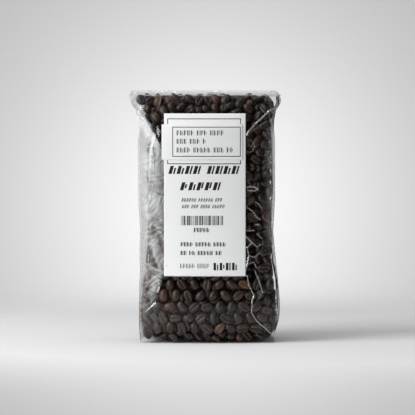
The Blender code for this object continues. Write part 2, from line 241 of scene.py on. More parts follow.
def turn_by(turns, spin):
    """Rotation matrices turned by small rotation vectors, and made square again."""
    angle = np.linalg.norm(spin, axis=1)[:, None] + TINY
    axis = spin / angle
    angle = np.minimum(angle, 0.25)
    cosine, sine = np.cos(angle), np.sin(angle)
    made = np.empty_like(turns)
    for k in range(3):
        v = turns[:, :, k]
        along = (axis * v).sum(1)[:, None] * axis * (1 - cosine)
        made[:, :, k] = v * cosine + np.cross(axis, v) * sine + along
    made[:, :, 0] = unit(made[:, :, 0])
    made[:, :, 2] = unit(np.cross(made[:, :, 0], made[:, :, 1]))
    made[:, :, 1] = np.cross(made[:, :, 2], made[:, :, 0])
    return made


def near_pairs(places, reach):
    """Every pair of places closer together than reach, as two index arrays."""
    firsts, seconds = [], []
    order = np.argsort(places[:, 2])
    ranked = places[order]
    last = np.searchsorted(ranked[:, 2], ranked[:, 2] + reach)
    for i in range(len(ranked) - 1):
        near = ranked[i + 1 : last[i]] - ranked[i]
        hits = np.flatnonzero((near * near).sum(1) < reach * reach)
        firsts.append(np.full(len(hits), order[i]))
        seconds.append(order[i + 1 + hits])
    return np.concatenate(firsts), np.concatenate(seconds)


def gathered(index, values, count):
    """Sums of the rows of values that share an index."""
    return np.stack([np.bincount(index, values[:, k], count) for k in range(3)], axis=1)


def read_drawn_beans():
    """Centre, axes and size of each bean that the CAD draws, domed side along the third axis."""
    centres, turns, sizes = [], [], []
    for node in BEAN_NODES:
        points = points_of(node)
        middle = points.mean(0)
        vectors = np.linalg.svd(points - middle, full_matrices=False)[2]
        spans = (points - middle) @ vectors.T
        long_axis, _, thick_axis = vectors
        thick = spans[:, 2]
        if thick.mean() * 2 > thick.min() + thick.max():
            thick_axis = -thick_axis
        wide_axis = np.cross(thick_axis, long_axis)
        low, high = spans.min(0), spans.max(0)
        centres.append(middle + ((low + high) / 2) @ vectors)
        turns.append(np.stack([long_axis, wide_axis, thick_axis], axis=1))
        sizes.append(high - low)
    return np.array(centres), np.array(turns), np.array(sizes)


def random_turns(rng, count):
    """Uniformly random rotation matrices."""
    made = np.linalg.qr(rng.normal(size=(count, 3, 3)))[0]
    made[np.linalg.det(made) < 0] *= -1
    return made


def scattered(rng, spacing):
    """Places on a loose grid through the bag, jittered, and inside every wall."""
    axes = [np.arange(low, high, spacing) for low, high in zip(*cad_box)]
    grid = np.stack(np.meshgrid(*axes, indexing="ij"), axis=-1).reshape(-1, 3)
    grid += rng.uniform(-JITTER, JITTER, grid.shape) * spacing
    inside = np.ones(len(grid), bool)
    for wall in WALLS.values():
        inside &= wall(*grid.T) > BEAN_SIZE[2] * 0.45
    return grid[inside]


def lay_beans():
    """The drawn beans and a loose grid of others, ready to settle: centres, axes and sizes."""
    rng = np.random.default_rng(5)
    drawn_centres, drawn_turns, drawn_sizes = read_drawn_beans()
    volume = math.pi / 6 * BEAN_SIZE.prod()
    loose = scattered(rng, (volume / PACKED_SHARE) ** (1 / 3))
    apart = np.linalg.norm(loose[:, None] - drawn_centres[None], axis=2).min(1)
    loose = loose[apart > DRAWN_GAP]
    turns = random_turns(rng, len(loose))
    slopes = [wall_slope(wall, loose) for wall in WALLS.values()]
    gaps = np.stack([gap for _, gap in slopes], axis=1)
    inward = np.stack([slope for slope, _ in slopes], axis=1)[np.arange(len(loose)), gaps.argmin(1)]
    faced = inward * rng.choice([-1.0, 1.0], (len(loose), 1)) + FLAT_SPREAD * rng.normal(size=loose.shape)
    faced = np.where((gaps.min(1) < FLAT_REACH)[:, None], faced, turns[:, :, 2])
    turns[:, :, 2] = unit(faced)
    turns[:, :, 1] = unit(np.cross(turns[:, :, 2], turns[:, :, 0]))
    turns[:, :, 0] = np.cross(turns[:, :, 1], turns[:, :, 2])
    scale = 1 + BEAN_SPREAD * rng.uniform(-1, 1, (len(loose), 1))
    shape = 1 + SHAPE_SPREAD * rng.uniform(-1, 1, (len(loose), 3))
    sizes = np.concatenate([drawn_sizes, BEAN_SIZE * scale * shape])
    return np.concatenate([drawn_centres, loose]), np.concatenate([drawn_turns, turns]), sizes


def push_pairs(pairs, centres, shapes, weight, move, spin, touching):
    """Adds what brings overlapping beans apart.

    Two ellipsoids with squared-axis matrices A and B, a vector d apart, are taken to touch where
    d (A + B)^-1 d is CONTACT, the contact distance of Berne and Pechukas.
    """
    one, two = pairs
    shift = centres[two] - centres[one]
    normal = np.linalg.solve(shapes[one] + shapes[two], shift[:, :, None])[:, :, 0]
    closeness = (shift * normal).sum(1)
    hit = closeness < CONTACT
    i, j, shift, normal = one[hit], two[hit], shift[hit], unit(normal[hit])
    apart = np.linalg.norm(shift, axis=1)
    overlap = apart * (np.sqrt(CONTACT / closeness[hit]) - 1)
    overlap *= np.abs((shift * normal).sum(1)) / apart
    levers = []
    for index, way in ((i, 1.0), (j, -1.0)):
        reached = np.einsum("nij,nj->ni", shapes[index], normal)
        reached /= np.sqrt((normal * reached).sum(1))[:, None]
        levers.append(np.cross(reached * way, normal))
    heavy = sum(weight[n] * (1 + (lever**2).sum(1) / INERTIA) for n, lever in zip((i, j), levers))
    share = overlap / np.maximum(heavy, TINY)
    for index, lever, way in zip((i, j), levers, (-1.0, 1.0)):
        amount = (share * weight[index] * way)[:, None]
        move += gathered(index, normal * amount, len(centres))
        spin += gathered(index, lever * amount / INERTIA, len(centres))
        touching += np.bincount(index, minlength=len(centres))


def push_inward(centres, shapes, weight, move, spin, touching):
    """Adds what brings beans back inside the walls."""
    for wall in WALLS.values():
        inward, gap = wall_slope(wall, centres)
        reached = np.einsum("nij,nj->ni", shapes, inward)
        support = np.sqrt((inward * reached).sum(1))
        pressed = np.maximum(support - gap, 0.0) * weight
        lever = np.cross(-reached / support[:, None], inward)
        amount = (pressed / (1 + (lever**2).sum(1) / INERTIA))[:, None]
        move += inward * amount * WALL_PUSH
        spin += lever * amount / INERTIA * WALL_PUSH
        touching += pressed > 0


def pack_beans():
    """Ellipsoids pushed and turned apart, inside the walls, round the beans that the CAD draws."""
    centres, turns, sizes = lay_beans()
    count = len(centres)
    weight = np.ones(count)
    weight[: len(BEAN_NODES)] = 0.0
    for k in range(SETTLE_ROUNDS):
        if k % PAIR_ROUNDS == 0:
            pairs = near_pairs(centres, PAIR_REACH)
        grown = min(START_SIZE + GROWTH * k / (GROWN_BY * SETTLE_ROUNDS), 1.0)
        shapes = np.einsum("nij,nj,nkj->nik", turns, (sizes / 2 * grown) ** 2, turns)
        pushes = np.zeros((count, 3)), np.zeros((count, 3)), np.ones(count)
        push_pairs(pairs, centres, shapes, weight, *pushes)
        push_inward(centres, shapes, weight, *pushes)
        move, spin, touching = pushes
        ease = (EASE / (1 + touching))[:, None] * PUSH
        centres = centres + move * ease
        turns = turn_by(turns, spin * ease)
    return centres, turns, sizes


# ---- makers


def mesh_piece(name, points, faces, material, slot, body="bag", replaces=(), **layers):
    """An object of equal-sided faces that rides on a body, with its float point attributes."""
    mesh = bpy.data.meshes.new(name)
    mesh.vertices.add(len(points))
    mesh.vertices.foreach_set("co", np.asarray(points, dtype=np.float32).ravel())
    mesh.loops.add(faces.size)
    mesh.loops.foreach_set("vertex_index", faces.ravel().astype(np.int32))
    mesh.polygons.add(len(faces))
    mesh.polygons.foreach_set("loop_start", np.arange(0, faces.size, faces.shape[1], dtype=np.int32))
    mesh.polygons.foreach_set("use_smooth", np.ones(len(faces), bool))
    mesh.update(calc_edges=True)
    mesh.validate()
    for layer, values in layers.items():
        attribute = mesh.attributes.new(layer, "FLOAT", "POINT")
        attribute.data.foreach_set("value", np.asarray(values, dtype=np.float32).ravel())
    mesh.materials.append(material)
    piece = bpy.data.objects.new(name, mesh)
    bpy.context.scene.collection.objects.link(piece)
    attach(piece, body)
    if replaces:
        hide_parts(*replaces)


def grid_faces(rows, columns):
    """Quads of a grid of rows x columns points, turned the way of row then column."""
    index = np.arange(rows * columns).reshape(rows, columns)
    corners = index[:-1, :-1], index[1:, :-1], index[1:, 1:], index[:-1, 1:]
    return np.stack([corner.ravel() for corner in corners], axis=1)


def sheet_piece(name, points, material, slot, turn=1, **rest):
    """A piece from a grid of points. Its faces are turned over where turn is -1."""
    faces = grid_faces(*points.shape[:2])[:, ::turn]
    mesh_piece(name, points.reshape(-1, 3), faces, material, slot, **rest)


class Shading:
    """The nodes of a new material or world. An input takes a value, or another node's output."""

    def __init__(self, owner):
        owner.use_nodes = True
        self.owner, self.nodes, self.links = owner, owner.node_tree.nodes, owner.node_tree.links
        self.shader = self.nodes.get("Principled BSDF")

    def feed(self, node, inputs):
        for key, value in inputs.items():
            if isinstance(value, bpy.types.NodeSocket):
                self.links.new(value, node.inputs[key])
            else:
                node.inputs[key].default_value = value

    def add(self, kind, inputs=None, **settings):
        """A new node's outputs."""
        node = self.nodes.new("ShaderNode" + kind)
        for key, value in settings.items():
            setattr(node, key, value)
        self.feed(node, inputs or {})
        return node.outputs

    def math(self, operation, *values, clamp=False):
        return self.add("Math", dict(enumerate(values)), operation=operation, use_clamp=clamp)[0]

    def layer(self, name):
        """A mesh's point attribute."""
        return self.add("Attribute", attribute_name=name)["Fac"]

    def grey(self, value):
        return self.add("CombineColor", {k: value for k in range(3)})[0]

    def mixed(self, factor, first, second, blend="MIX"):
        inputs = {"Factor": factor, "A": first, "B": second}
        return self.add("Mix", inputs, data_type="RGBA", blend_type=blend)["Result"]

    def noise(self, scale, detail):
        place = self.add("TexCoord")["Object"]
        return self.add("TexNoise", {"Vector": place, "Scale": scale, "Detail": detail})["Fac"]

    def bump(self, height, strength, distance):
        return self.add("Bump", {"Height": height, "Strength": strength, "Distance": distance})[0]

    def spot(self, centre, stretch, size):
        """exp(-(r / size)^2) of the distance r from a point, in the object's own coordinates."""
        way = self.add("TexCoord")["Object"]
        way = self.add("VectorMath", {0: way, 1: centre}, operation="SUBTRACT")[0]
        way = self.add("VectorMath", {0: way, 1: [k / size for k in stretch]}, operation="MULTIPLY")[0]
        length = self.add("VectorMath", {0: way}, operation="LENGTH")["Value"]
        return self.math("EXPONENT", self.math("MULTIPLY", self.math("POWER", length, 2.0), -1.0))

    def surface(self, shader):
        self.feed(self.nodes["Material Output"], {"Surface": shader})

    def see_through(self, share, colour):
        """Lets the shader show by a share, and what is behind it show by the rest."""
        clear = self.add("BsdfTransparent", {"Color": colour})[0]
        self.surface(self.add("MixShader", {0: share, 1: clear, 2: self.shader.outputs[0]})[0])


# ---- camera, floor, backdrop, lights

CAMERA_DISTANCE = 2.5
CAMERA_ELEVATION = math.radians(2.5)
FRAME_WIDTH = 0.3203  # of the view, at the bag
AIM = Vector((0.0004, 0.0, 0.1023))
SENSOR = 36.0

camera_data = bpy.data.cameras.new("camera")
camera_data.sensor_width = SENSOR
camera_data.lens = SENSOR * CAMERA_DISTANCE / FRAME_WIDTH
camera_data.clip_end = 30.0
camera = bpy.data.objects.new("camera", camera_data)
outward = Vector((0.0, -math.cos(CAMERA_ELEVATION), math.sin(CAMERA_ELEVATION)))
camera.location = AIM + outward * CAMERA_DISTANCE
camera.rotation_euler = (-outward).to_track_quat("-Z", "Y").to_euler()
bpy.context.scene.collection.objects.link(camera)
bpy.context.scene.camera = camera
bpy.context.scene.view_settings.view_transform = "Standard"
bpy.context.scene.cycles.transparent_max_bounces = 32

FLOOR_RADIUS = 1.6
FLOOR_GREY, FLOOR_PAINTED_LIGHT, FLOOR_SPOT = 0.71, 0.07, 0.62  # its albedo, the painted pool of light added to it near the bag, and that pool's size
FADE_SIZE, FADE_GAIN = 0.35, 2.2  # where the floor fades into the backdrop
DOME_RADIUS = 4.5
EDGE_GREY, PAINTED_POOL_GREY = 0.465, 0.515  # the backdrop far from its painted pool of light, and what that pool adds
PAINTED_POOL_SIZE = 0.455  # of the painted pool of light, in metres on the dome
SKY_LIGHT, SKY_TILT, ROOM_LIGHT = 0.43, 0.6, 0.05
BEHIND_GLOSS, ROOM_GLOSS = 0.45, 0.04  # what the film mirrors from behind the bag, and from the room
WHITE = (1, 1, 1, 1)


def make_floor():
    bpy.ops.mesh.primitive_circle_add(vertices=96, radius=FLOOR_RADIUS, fill_type="NGON")
    floor = bpy.context.object
    floor.name = "floor"
    pale = Shading(bpy.data.materials.new("pale_floor"))
    # A painted pool of light: the floor's albedo is raised round a point just in front of the bag.
    near = pale.spot((0, -0.1, 0), (1, 0.8, 1), FLOOR_SPOT)
    albedo = pale.grey(pale.math("MULTIPLY_ADD", near, FLOOR_PAINTED_LIGHT, FLOOR_GREY))
    pale.feed(pale.shader, {"Base Color": albedo, "Roughness": 0.9, "Specular IOR Level": 0.0})
    fade = pale.spot((0.08, 0.05, 0), (1, 1.23, 1), FADE_SIZE)
    pale.see_through(pale.math("MULTIPLY", fade, FADE_GAIN, clamp=True), WHITE)
    floor.data.materials.append(pale.owner)


def make_backdrop():
    bpy.ops.mesh.primitive_uv_sphere_add(segments=64, ring_count=32, radius=DOME_RADIUS)
    dome = bpy.context.object
    dome.name = "backdrop"
    dome.data.shade_smooth()
    pale = Shading(bpy.data.materials.new("pale_backdrop"))
    pale.nodes.remove(pale.shader)
    # A painted pool of light on the glowing dome: brightest behind the bag, greying towards its edges.
    spot = pale.spot(tuple(AIM - outward * DOME_RADIUS), (1, 1, 1), PAINTED_POOL_SIZE)
    grey = pale.grey(pale.math("MULTIPLY_ADD", spot, PAINTED_POOL_GREY, EDGE_GREY))
    pale.surface(pale.add("Emission", {"Color": grey})[0])
    dome.data.materials.append(pale.owner)
    dome.visible_diffuse = dome.visible_glossy = dome.visible_shadow = False
    dome.visible_transmission = dome.visible_volume_scatter = False


def make_world():
    """Light from above and behind, with a dim room in front so that the film's reflections stay dark."""
    studio = Shading(bpy.data.worlds.new("studio"))
    bpy.context.scene.world = studio.owner
    way = studio.add("SeparateXYZ", {0: studio.add("TexCoord")["Generated"]})
    sky = studio.math("MULTIPLY", studio.math("MAXIMUM", way["Z"], 0.0), SKY_LIGHT)
    tilt = studio.math("MULTIPLY_ADD", way["Y"], SKY_TILT, 1.0)
    soft = studio.math("MULTIPLY_ADD", sky, tilt, ROOM_LIGHT)
    behind = studio.math("POWER", studio.math("MAXIMUM", way["Y"], 0.0), 0.5)
    mirrored = studio.math("MULTIPLY_ADD", behind, BEHIND_GLOSS, ROOM_GLOSS)
    glossy = studio.add("LightPath")["Is Glossy Ray"]
    strength = studio.add("Mix", {"Factor": glossy, "A": soft, "B": mirrored})["Result"]
    studio.feed(studio.nodes["Background"], {"Color": WHITE, "Strength": strength})


def softbox(name, azimuth, elevation, distance, size, watts):
    """A rectangular light aimed at the bag, from an azimuth measured to the left of the camera."""
    light = bpy.data.lights.new(name, "AREA")
    light.shape = "RECTANGLE"
    light.size, light.size_y = size
    light.energy = watts
    lamp = bpy.data.objects.new(name, light)
    a, e = math.radians(azimuth), math.radians(elevation)
    way = Vector((-math.sin(a) * math.cos(e), -math.cos(a) * math.cos(e), math.sin(e)))
    lamp.location = AIM + way * distance
    lamp.rotation_euler = way.to_track_quat("Z", "Y").to_euler()
    lamp.visible_camera = False
    bpy.context.scene.collection.objects.link(lamp)


make_floor()
make_backdrop()
make_world()
softbox("key", 60, 30, 1.4, (0.75, 1.1), 16.6)
softbox("side_panel", 37, 5, 1.35, (0.55, 0.42), 5.2)
softbox("top", 10, 80, 1.3, (0.8, 0.8), 4.5)

# ---- beans

FURROW_DEPTH, FURROW_WIDTH = 0.2, 0.12
DOME_SHARE = 0.66  # of a bean's thickness that is above its rim
BEAN_POWER = 2.25  # 2 would make its outline an ellipse
BEAN_KINDS = ((0.05, 0.05), (0.1, -0.04), (0.0, 0.07))  # how far a bean narrows, and its furrow bends
ROAST_STOPS = (  # the tones of beans, from most of them to the few that are redder
    (0.0, (0.015, 0.0098, 0.0076, 1)),
    (0.5, (0.027, 0.0168, 0.0128, 1)),
    (0.88, (0.040, 0.023, 0.0165, 1)),
    (0.95, (0.070, 0.026, 0.019, 1)),
    (1.0, (0.110, 0.056, 0.028, 1)),
)
CHAFF = (0.07, 0.042, 0.026, 1)
OUTER_LAYER, SECOND_LAYER = 5.6 * MM, 11.5 * MM  # from a wall to the middle of a bean


def bean_template(along, across, lean, bend):
    """Points, quads and furrow strength of a bean in a unit box, domed up, furrowed below."""
    u = np.sin(np.linspace(-1, 1, along) * math.pi / 2)
    v = np.linspace(-1, 1, across)
    v = np.sign(v) * np.abs(v) ** 1.35
    uu, vv = np.meshgrid(u, v, indexing="ij")
    x = uu * np.sqrt(1 - vv**2 / 2)
    y = vv * np.sqrt(1 - uu**2 / 2)
    radius = np.clip(np.hypot(x, y), 0, 1)
    round_x, round_y = np.abs(x) / np.maximum(radius, TINY), np.abs(y) / np.maximum(radius, TINY)
    bulge = (round_x**BEAN_POWER + round_y**BEAN_POWER + TINY) ** (-1 / BEAN_POWER)
    x, y = x * bulge, y * bulge
    dome = DOME_SHARE * (1 - radius**2.3) ** 0.5
    flat = (DOME_SHARE - 1) * (1 - radius**5) ** 0.5
    groove = np.exp(-((vv / FURROW_WIDTH) ** 2)) * (1 - np.abs(uu) ** 12)
    flat = flat + FURROW_DEPTH * groove
    bent = y + bend * np.sin(math.pi * x) * (1 - vv**2)
    narrow = 1 - lean * x
    middle = DOME_SHARE - 0.5
    top = np.stack([x / 2, y * narrow / 2, dome - middle], axis=-1).reshape(-1, 3)
    bottom = np.stack([x / 2, bent * narrow / 2, flat - middle], axis=-1).reshape(-1, 3)
    inner = np.zeros((along, across), bool)
    inner[1:-1, 1:-1] = True
    inner = inner.ravel()
    other = np.arange(along * across)  # the bottom's points, which share the rim with the top's
    other[inner] = along * across + np.arange(inner.sum())
    points = np.concatenate([top, bottom[inner]])
    furrow = np.concatenate([np.zeros(along * across), groove.ravel()[inner]])
    faces = grid_faces(along, across)
    return points, np.concatenate([faces, other[faces[:, ::-1]]]), furrow


def bean_cloud(name, chosen, along, across, seed, replaces=()):
    """One object of many beans at their packed places."""
    centres, turns, sizes = (part[chosen] for part in packed)
    rng = np.random.default_rng(100 + seed)
    kind = rng.integers(0, len(BEAN_KINDS), len(centres))
    parts, count = [], 0
    for k, (lean, bend) in enumerate(BEAN_KINDS):
        mine = kind == k
        template, quads, furrow = bean_template(along, across, lean, bend)
        local = template[None] * sizes[mine][:, None, :]
        placed = np.einsum("nij,npj->npi", turns[mine], local) + centres[mine][:, None, :]
        offset = count + np.arange(mine.sum())[:, None, None] * len(template)
        faces = (quads[None] + offset).reshape(-1, 4)
        tone = np.repeat(rng.uniform(0, 1, mine.sum()), len(template))
        parts.append((placed.reshape(-1, 3), faces, np.tile(furrow, mine.sum()), tone))
        count += mine.sum() * len(template)
    points, faces, furrow, tone = (np.concatenate(part) for part in zip(*parts))
    mesh_piece(name, points, faces, bean_material, "roasted_bean",
               replaces=replaces, furrow=furrow, tone=tone)


def make_bean_material():
    """Dark roast: brown with a faint sheen, some beans redder, chaff in the furrows."""
    bean = Shading(bpy.data.materials.new("dark_roast"))
    ramp = bean.nodes.new("ShaderNodeValToRGB")
    elements = ramp.color_ramp.elements
    while len(elements) < len(ROAST_STOPS):
        elements.new(0.5)
    for element, (where, colour) in zip(elements, ROAST_STOPS):
        element.position, element.color = where, colour
    bean.feed(ramp, {0: bean.layer("tone")})
    grain = bean.noise(480.0, 1.0)
    blotch = bean.grey(bean.math("MULTIPLY", grain, 2.0))
    roast = bean.mixed(0.55, ramp.outputs[0], blotch, "MULTIPLY")
    inputs = {
        "Base Color": bean.mixed(bean.math("MULTIPLY", bean.layer("furrow"), 0.55), roast, CHAFF),
        "Roughness": 0.4,
        "Specular IOR Level": 0.5,
        "Specular Tint": (1.0, 0.93, 0.86, 1),
        "Normal": bean.bump(grain, 0.12, 0.4 * MM),
    }
    bean.feed(bean.shader, inputs)
    return bean.owner


packed = pack_beans()
bean_material = make_bean_material()


def make_beans():
    """The drawn beans one by one, and the rest joined by the side of the bag they lie against."""
    for k, node in enumerate(BEAN_NODES):
        bean_cloud("roasted_" + node, np.array([k]), 17, 15, k, replaces=(node,))
    centres = packed[0]
    gaps = np.stack([wall_slope(wall, centres)[1] for wall in WALLS.values()], axis=1)
    nearest, gap = gaps.argmin(1), gaps.min(1)
    loose = np.arange(len(centres)) >= len(BEAN_NODES)
    for k, side in enumerate(WALLS):
        mine = loose & (nearest == k)
        outer = np.flatnonzero(mine & (gap < OUTER_LAYER))
        second = np.flatnonzero(mine & (gap >= OUTER_LAYER) & (gap < SECOND_LAYER))
        bean_cloud("beans_" + side, outer, 11, 11, 200 + k, replaces=("bean_fill",))
        bean_cloud("beans_" + side + "_second", second, 7, 7, 300 + k)
    inner = np.flatnonzero(loose & (gap >= SECOND_LAYER))
    bean_cloud("beans_inner", inner, 5, 5, 400)


make_beans()

# ---- film

FILM = 0.4 * MM  # the CAD's film, whose outer face the skin follows
# How far the creases stand out to the left and right, by height.
EDGE_LEVELS, EDGE_LEFT, EDGE_RIGHT = outline(
    (0, 51, 51.8), (6, 51.5, 51), (10, 51.8, 52.6), (18, 51.8, 54.9), (25, 51.8, 55.6), (33, 51.8, 55.6),
    (41, 51.8, 54.9), (56, 51, 53.3), (71, 51.8, 51.8), (86, 51, 50.5), (110, 52.6, 51.8),
    (155, 52.6, 51.8), (163, 51.2, 51), (170, 53.3, 51.2), (178, 54.1, 52.6), (182, 57.2, 54.9),
    (185.5, 58.7, 56.4), (189, 60, 55.6), (191.6, 58.7, 54.1), (192.6, 57.9, 52.3),
)
FILM_FACES = 1.7  # how many single faces a film reflects as
CLINGING, LOOSE = 0.28, 1.2  # how much of that shows where the film lies on the beans, and where it is loose
ROWS, COLUMNS, FOLDS = 385, 201, 101
TOP_DIP, BASE_RISE = 4.6 * MM, 3.2 * MM  # of the gussets' middle, below the top rim and above the base rim
LABEL_MIDDLE = -1.6 * MM
# The second tone is painted shade, the greyish brown of film layers lying in shade.
CLEAR_TONE, PAINTED_SHADE_TONE = (0.94, 0.965, 0.97, 1), (0.42, 0.39, 0.37, 1)
FILM_TINT = (0.935, 0.94, 0.94, 1)  # of what is seen through it

# Columns across a face from -1 to 1, closer together towards its two creases.
SHARES = np.interp(np.linspace(0, 1, COLUMNS), (0, 0.38, 0.62, 1), (-1, -0.56, 0.56, 1))


def edge_at(z, side):
    return np.interp(z, EDGE_LEVELS, EDGE_LEFT if side < 0 else EDGE_RIGHT)


def smoothstep(low, high, value):
    t = np.clip((value - low) / (high - low), 0, 1)
    return t * t * (3 - 2 * t)


def rise(low, high, value):
    """A smooth step from 0 to 1 between two places in millimetres. It falls where low is the higher."""
    return smoothstep(low * MM, high * MM, value)


def inside_rim(share, power, z):
    """1 over most of a sheet, and 0 along its edges, where it has to meet its neighbours."""
    return (1 - np.abs(share) ** power) * rise(0, 3, z) * smoothstep(HEIGHT, HEIGHT - 1.5 * MM, z)


def face_depth(x, z):
    """Depth of the front film's smooth outer face at x, z."""
    edge = np.where(x < 0, edge_at(z, -1), edge_at(z, 1))
    share = np.clip(np.abs(x) / edge, 0, 1)
    crease = np.interp(z, LEVELS, CREASE_DEPTH)
    middle = front_depth(np.zeros_like(z), z)
    return crease + (middle - crease) * (1 - share**2.2) + FILM


def crumple(u, v, rng, pitch, folds=5):
    """A field of sharp folds and flat facets, 0 to 1, over two coordinates in metres."""
    total = 0.0
    for _ in range(folds):
        angle, phase = rng.uniform(0, math.pi), rng.uniform(0, 1, 3)
        length = pitch * rng.uniform(0.7, 1.9)
        wave = (u * math.cos(angle) + v * math.sin(angle)) / length + phase[0]
        for way, period, start in ((u, 4.1, phase[1]), (v, 5.3, phase[2])):
            wave = wave + 0.22 * np.sin(6.3 * (way / (period * pitch) + start))
        total = total + np.abs(2 * (wave - np.floor(wave)) - 1)
    return total / folds


def creases(u, v, rng, pitch, folds=4):
    """Thin broken lines along sharp folds, 0 to 1."""
    lines = np.zeros_like(u)
    for _ in range(folds):
        tent = crumple(u, v, rng, pitch, 1)
        broken = smoothstep(0.45, 0.7, crumple(v, u, rng, 2.3 * pitch, 2))
        lines = np.maximum(lines, smoothstep(0.9, 1.0, tent) * broken)
    return lines


def ridge(x, z, line, width):
    """How close points come to a polyline of (x, z) in millimetres: 1 on it, 0 past its width."""
    line = np.array(line) * MM
    nearest = np.full(x.shape, 1.0)
    for (x0, z0), (along_x, along_z) in zip(line[:-1], np.diff(line, axis=0)):
        t = ((x - x0) * along_x + (z - z0) * along_z) / (along_x**2 + along_z**2)
        t = np.clip(t, 0, 1)
        nearest = np.minimum(nearest, np.hypot(x - x0 - t * along_x, z - z0 - t * along_z))
    return np.clip(1 - nearest / width, 0, 1)


def folded_along(x, z, folds, lift):
    """The film's lift with folds added, and the painted highlight along them."""
    white = np.zeros_like(x)
    for height, width, whiteness, line in folds:
        close = ridge(x, z, line, width * MM)
        lift = lift + height * MM * close**1.5
        white = np.maximum(white, whiteness * close**2)
    return lift, white


# The front film's sharp folds: height and half width in mm, the strength of the painted highlight along each,
# and points in x and z.
FRONT_FOLDS = (
    (0.9, 1.1, 1.0, ((-48, 171), (-45.7, 168), (-41, 160), (-35.8, 151.3))),
    (0.5, 1.0, 0.8, ((-45.7, 149.7), (-40, 150.4), (-34.3, 147.4))),
    (0.5, 0.9, 0.8, ((-45.7, 97.9), (-41.9, 97.5), (-33.5, 94.1), (-40.4, 92.6), (-45.7, 88))),
    (0.6, 1.7, 0.9, ((-45, 76), (-37.3, 74.5))),
    (0.6, 2.0, 0.95, ((-47.2, 61.3), (-40, 57), (-32.8, 54.5))),
    (0.5, 1.0, 0.7, ((-46, 52), (-44, 48))),
    (0.5, 1.0, 0.7, ((-38.9, 30.9), (-46.9, 24))),
    (0.9, 1.2, 1.0, ((53.3, 181), (46.9, 176.8), (41, 171), (36.6, 167.3), (31.7, 161.9), (30.5, 158.9))),
    (0.6, 0.8, 0.6, ((45.7, 169.2), (39.9, 165.7), (33.2, 161.3))),
    (0.5, 0.9, 0.6, ((46.5, 177), (48, 172), (50.5, 163))),
    (0.5, 0.9, 0.45, ((30.5, 156), (34, 154.5), (36.5, 150.5), (35, 147), (31, 146))),
    (0.4, 3.4, 0.3, ((31.5, 151.5), (34, 150))),
    (0.4, 1.6, 0.4, ((31, 124.5), (33.5, 120.5))),
    (0.4, 2.6, 0.14, ((43.5, 155), (44.5, 143), (43, 131))),
    (0.6, 0.9, 0.9, ((29.5, 119), (32, 120), (36, 119.6), (38.9, 118), (36, 116.6), (31, 117))),
    (0.5, 0.8, 0.6, ((37, 108), (40, 106.5), (41, 104))),
    (0.6, 0.8, 0.8, ((29.7, 104.8), (35, 101), (38, 96.5), (40.4, 94.9))),
    (0.4, 0.8, 0.9, ((36.6, 91), (39.6, 91))),
    (0.4, 0.9, 0.9, ((29.7, 86.5), (35.8, 86.5))),
    (0.4, 0.8, 0.6, ((38, 84), (42, 80.5))),
    (0.6, 0.8, 1.0, ((30.5, 81.2), (34.3, 77.3), (30.5, 73.5), (32, 67.4), (29.7, 56))),
    (0.5, 0.7, 0.8, ((34.3, 77.3), (38, 74), (41, 76))),
    (0.5, 0.7, 0.8, ((32, 67.4), (36, 66), (40, 69.5))),
    (0.5, 0.7, 0.8, ((31, 61), (35.5, 62.5), (38, 58))),
    (0.5, 0.8, 0.8, ((36.6, 55.2), (39.6, 48.4), (42.7, 39.2))),
    (0.6, 0.8, 1.0, ((30.5, 52.2), (32, 44.6), (35.8, 37), (34.3, 31.6),
                     (33.9, 24), (38.1, 17.1), (45, 11), (51, 5))),
)


def random_folds(rng, count, reach):
    """Short bent folds scattered over a face reach mm to each side."""
    folds = []
    for _ in range(count):
        x, z = rng.uniform(-reach, reach), rng.uniform(8, 185)
        heading = rng.uniform(0, 2 * math.pi)
        line = [(x, z)]
        for _ in range(rng.integers(1, 4)):
            heading += rng.uniform(-0.7, 0.7)
            step = rng.uniform(5, 11)
            x, z = x + step * math.cos(heading), z + step * math.sin(heading)
            line.append((x, z))
        # Each fold: height, half width, the strength of its painted highlight, and its points.
        folds.append((rng.uniform(0.3, 0.7), rng.uniform(0.7, 1.2), rng.uniform(0.3, 0.8), tuple(line)))
    return folds


# Left of this edge, by height, the gusset lies folded behind the front film, and the front film there gets
# painted reflections as whiteness.
FOLDED_LEVELS, FOLDED_EDGE = outline(
    (18, -50), (30, -42), (52, -34), (92, -34.5), (108, -38), (140, -37.5), (150, -35.5), (168, -45),
    (176, -52),
)


